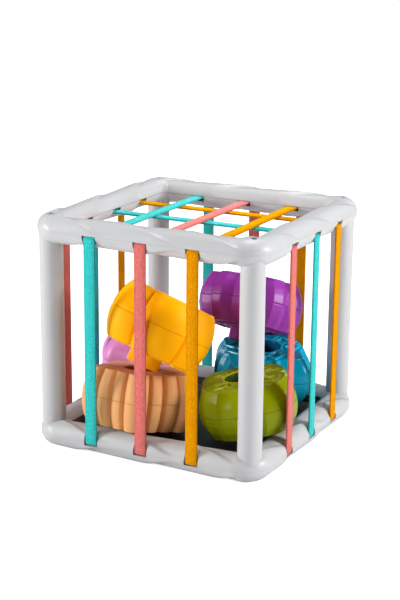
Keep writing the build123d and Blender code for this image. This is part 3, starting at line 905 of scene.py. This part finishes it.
def lattice_square(angles):
    """The knobs are found by stepping outward along each ray."""
    reach = rounded_square_reach(1, SQUARE_CORNER, angles)
    steps = np.linspace(0.9, 1.2, 200)[:, None]
    for quarter in range(4):
        u = steps * np.cos(angles - quarter * pi / 2)
        v = steps * np.sin(angles - quarter * pi / 2)
        for side in (-KNOB_ASIDE, KNOB_ASIDE):
            knob = np.abs(u - 1) + np.abs(v - side) < KNOB_SIZE
            reach = np.maximum(reach, np.where(knob, steps, 0).max(axis=0))
    return reach


def lattice_relief(u, v):
    """Eight overlapping diamonds of rib, two toward each side."""
    rib = np.zeros_like(u)
    for aside in (DIAMOND_ASIDE, -DIAMOND_ASIDE):
        for c, s in ((1, 0), (0, 1), (-1, 0), (0, -1)):
            across = np.abs(u - (DIAMOND_OUT * c - aside * s))
            apart = across + np.abs(v - (DIAMOND_OUT * s + aside * c))
            rib = np.maximum(rib, soft(np.abs(apart - DIAMOND_SIZE) / 1.414 - RIB_HALF, 0.015))
    return RELIEF * rib - 0.3 * (1 - rib) * soft(np.hypot(u, v) - 1.2)


build_block(SimpleNamespace(
    name="blue", outline=lattice_square, relief=lattice_relief, sunk=False, pegged=False,
    radius=24.9, height=27.8, draw_in=4.5, rim=0.8, facets=12,
    centre=(23.6, 33.6, 28.6), turn=tilt(-77.1, 4.9, 33.6),
    colours=("0098ba", "04485f", "24bada", "0a5a86"), gloss=0.18, mirror=0.22,
))


# ---------------------------------------------------------------- purple block: ten lobes
# Moulded plastic with a soft gloss and cut sides. Ten lobes round a raised braid with small pits, and a
# peg below.
LOBES_ROUND, ROUND_SHARE, ROUND_FLATS, FIRST_FLAT = 10, 0.305, 30, 9
BRAID, BRAID_SWAY, BRAID_HALF, BRAID_WAVES = 0.64, 0.016, 0.03, 15
MOAT, MOAT_HALF = 0.78, 0.012


def ring(radius, middle, half_width, width=0.012):
    """A raised ring with soft shoulders."""
    return soft(np.abs(radius - middle) - half_width, width)


def dots(radius, angle, middle, count, size):
    """A circle of small round marks."""
    apart = folded(angle, count)
    return soft(np.hypot(radius * np.cos(apart) - middle, radius * np.sin(apart)) - size, 0.008)


def ten_lobes(angles):
    """Round lobes, cut to three flats each."""
    return with_flats(petal_reach(1, ROUND_SHARE, LOBES_ROUND, 0, angles), ROUND_FLATS, FIRST_FLAT)


def lobes_relief(u, v):
    """A step in the middle, the braid with its pits, and a narrow moat outside it."""
    radius, angle = np.hypot(u, v), np.arctan2(v, u)
    braid = BRAID + BRAID_SWAY * np.sin(angle * BRAID_WAVES)
    height = 1.0 * ring(radius, braid, BRAID_HALF) + 0.5 * soft(radius - 0.53)
    height -= 0.5 * dots(radius, angle, BRAID, 2 * BRAID_WAVES, 0.012)
    return height - 0.5 * ring(radius, MOAT, MOAT_HALF)


build_block(SimpleNamespace(
    name="purple", outline=ten_lobes, relief=lobes_relief, sunk=False, pegged=True,
    radius=30.2, height=27.8, draw_in=4.0, rim=1.0, facets=3,
    centre=(19.4, 25.1, 69.8), turn=tilt(91.1, 23.4, 0.0),
    colours=("8c3098", "4c0c58", "aa56ba", "5a0a6e"), gloss=0.3, mirror=0.22,
))


# ---------------------------------------------------------------- yellow block: six petals
# Satin moulded plastic. Six petals with a crease between each pair, a raised hexagon round the hub, a
# raised strip of dashes along the petals' edges, and a peg below.
PETALS, PETAL_SHARE = 6, 0.53
HEXAGON, HEXAGON_HALF, MIDDLE_STEP, MIDDLE_WAVES = 0.668, 0.042, 0.52, 18
STRIP, STRIP_HALF, DASHES, DASH_HALF = 0.062, 0.036, 80, 0.012


def six_petals(angles):
    """Broad petals with a crease where two meet."""
    return creased(petal_reach(1, PETAL_SHARE, PETALS, 30, angles), 0.025, 4)


def petals_relief(u, v):
    """The hexagon, a rippled step inside it, a valley between each pair of petals, and the dashes."""
    radius, angle = np.hypot(u, v), np.arctan2(v, u)
    hexagon = radius * np.cos(folded(angle, PETALS))
    height = 0.9 * soft(np.abs(hexagon - HEXAGON) - HEXAGON_HALF)
    height += (0.8 + 0.1 * np.cos(angle * MIDDLE_WAVES)) * soft(radius - MIDDLE_STEP)
    valley = np.abs(radius * np.sin(folded(angle, PETALS)))
    height -= 0.5 * soft(valley - 0.006) * soft(0.72 - radius)
    from_edge = petal_reach(1, PETAL_SHARE, PETALS, 30, angle) - radius
    strip = soft(np.abs(from_edge - STRIP) - STRIP_HALF) * soft(0.07 - valley)
    dash = soft(np.abs(folded(angle, DASHES)) * radius - DASH_HALF, 0.008)
    return np.maximum(height, strip * RELIEF) - 0.9 * strip * dash


build_block(SimpleNamespace(
    name="yellow", outline=six_petals, relief=petals_relief, sunk=False, pegged=True,
    radius=30.6, height=31.3, draw_in=4.3, rim=0.5, facets=12,
    centre=(-4.5, -39.0, 69.7), turn=tilt(59.0, 29.7, 28.8),
    colours=("ffab00", "e06c00", "ffb900", "ff7a14"), gloss=0.4, mirror=0.06,
))


# ---------------------------------------------------------------- pink block: spear tips
# Moulded plastic with a soft gloss. A rounded square with a spear tip on each side, a pitted ring round
# the hub, and a ridged blade behind every tip.
BODY_HALF, BODY_CORNER, TIP_LENGTH, TIP_HALF = 0.79, 0.3, 0.18, 0.14
PITTED_RING, PITS, PIT_SIZE = 0.62, 16, 0.022
ARC, ARC_HALF, ARC_REACH = 0.84, 0.05, 27
BLADE_FROM, BLADE_LENGTH, BLADE_HALF = 0.66, 0.48, 0.13


def spear_square(angles):
    """A rounded square with a pointed tip in the middle of each side."""
    reach = rounded_square_reach(BODY_HALF, BODY_CORNER, angles)
    apart = np.abs(folded(angles, 4))
    tip = 1 / (np.cos(apart) + TIP_LENGTH / TIP_HALF * np.sin(apart))
    return np.maximum(reach, np.where(tip * np.sin(apart) <= TIP_HALF, tip, 0))


def spear_relief(u, v):
    """The ring with its pits on a step, an arc sunk in each corner, and the four blades."""
    radius, angle = np.hypot(u, v), np.arctan2(v, u)
    height = 1.1 * ring(radius, PITTED_RING, 0.035) + 0.6 * soft(radius - 0.5)
    height -= 0.6 * dots(radius, angle, PITTED_RING, PITS, PIT_SIZE)
    from_corner = np.abs(folded(angle, 4, 45))
    height -= 0.6 * ring(radius, ARC, ARC_HALF, 0.02) * soft(from_corner - radians(ARC_REACH), 0.06)
    apart = folded(angle, 4)
    x, y = radius * np.cos(apart) - BLADE_FROM, radius * np.sin(apart)
    ridge = 1 - 0.7 * np.clip(np.abs(y) / BLADE_HALF, 0, 1) ** 2
    return height + 0.8 * soft(leaf(x, y, BLADE_LENGTH, BLADE_HALF), 0.02) * ridge


build_block(SimpleNamespace(
    name="pink", outline=spear_square, relief=spear_relief, sunk=False, pegged=False,
    radius=27.6, height=26.8, draw_in=5.0, rim=1.0, facets=12,
    centre=(-42.1, 11.9, 30.4), turn=tilt(30.2, 11.7, 10.0),
    colours=("e08ccc", "a04c8a", "f0b0e0", "cc2a88"), gloss=0.28, mirror=0.25,
))


# ---------------------------------------------------------------- floor
# White sheet under the cube. To the camera it is nearly white of itself, fully so away from the cube,
# which leaves only a faint shadow; to everything else it is a dull sheet that throws little light back.
SHEET_HALF, SHADOW_REACH, WHITE_FROM = 6.0, 0.1, 0.35
sheet = bmesh.new()
bmesh.ops.create_grid(sheet, x_segments=1, y_segments=1, size=SHEET_HALF)
floor = new_piece("floor", sheet)
paper = Shader("white sheet")
seen_direct = paper.node("LightPath").outputs["Is Camera Ray"]
distance = paper.node("VectorMath", operation="LENGTH")
paper.join(paper.place, distance.inputs[0])
beyond = paper.math("SUBTRACT", distance.outputs["Value"], SHADOW_REACH)
away = paper.math("DIVIDE", beyond, WHITE_FROM - SHADOW_REACH, clamp=True)
own_light = paper.math("ADD", paper.math("MULTIPLY", away, 0.25), 0.75)
paper.set(
    Emission_Strength=paper.math("MULTIPLY", own_light, seen_direct),
    Emission_Color=(1, 1, 1, 1),
    Base_Color=(0.8, 0.8, 0.8, 1),
    Roughness=0.9,
)
floor.data.materials.append(paper.material)
